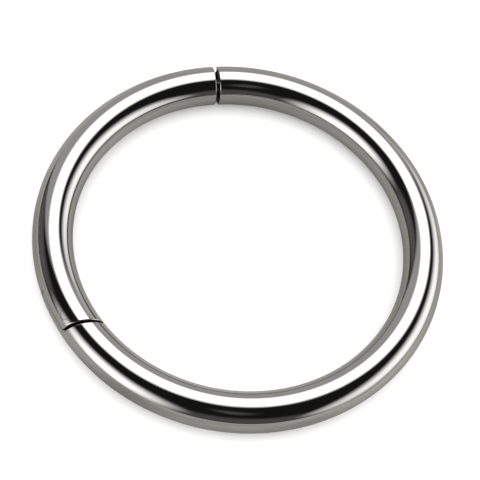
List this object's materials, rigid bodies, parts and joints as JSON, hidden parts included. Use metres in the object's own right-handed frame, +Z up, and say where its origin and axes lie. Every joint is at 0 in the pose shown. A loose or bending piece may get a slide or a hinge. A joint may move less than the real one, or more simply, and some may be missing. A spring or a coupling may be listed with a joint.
{
  "type": "hinged segment ring",
  "caption": "Plain round polished-steel body-jewellery ring whose hinged arc swings outward about a riveted pivot and snaps shut with a ball-tip pin.",
  "frame": {"origin": "on the floor under the ring's centre, with the ring lying flat and closed", "axes": "+Z up, which is the ring's own axis; the hinged segment is centred on -X, with its hinge at the -Y end and its clasp at the +Y end; +X points to the middle of the fixed arc"},
  "size_m": [0.0124, 0.0124, 0.0012],
  "materials": {
    "polished_steel": "mirror-polished bare surgical steel, 316L, not plated"
  },
  "bodies": {
    "ring": {"ring_body": "polished_steel"},
    "segment": {"hinged_segment": "polished_steel", "hinge_pin": "polished_steel", "clasp_pin": "polished_steel"}
  },
  "joints": [
    {"name": "segment_hinge", "type": "hinge", "parent": "ring", "child": "segment", "pos_m": [-0.00346, -0.00478, 0.0006], "axis": [0, 0, 1], "range_deg": [0, 47]}
  ]
}
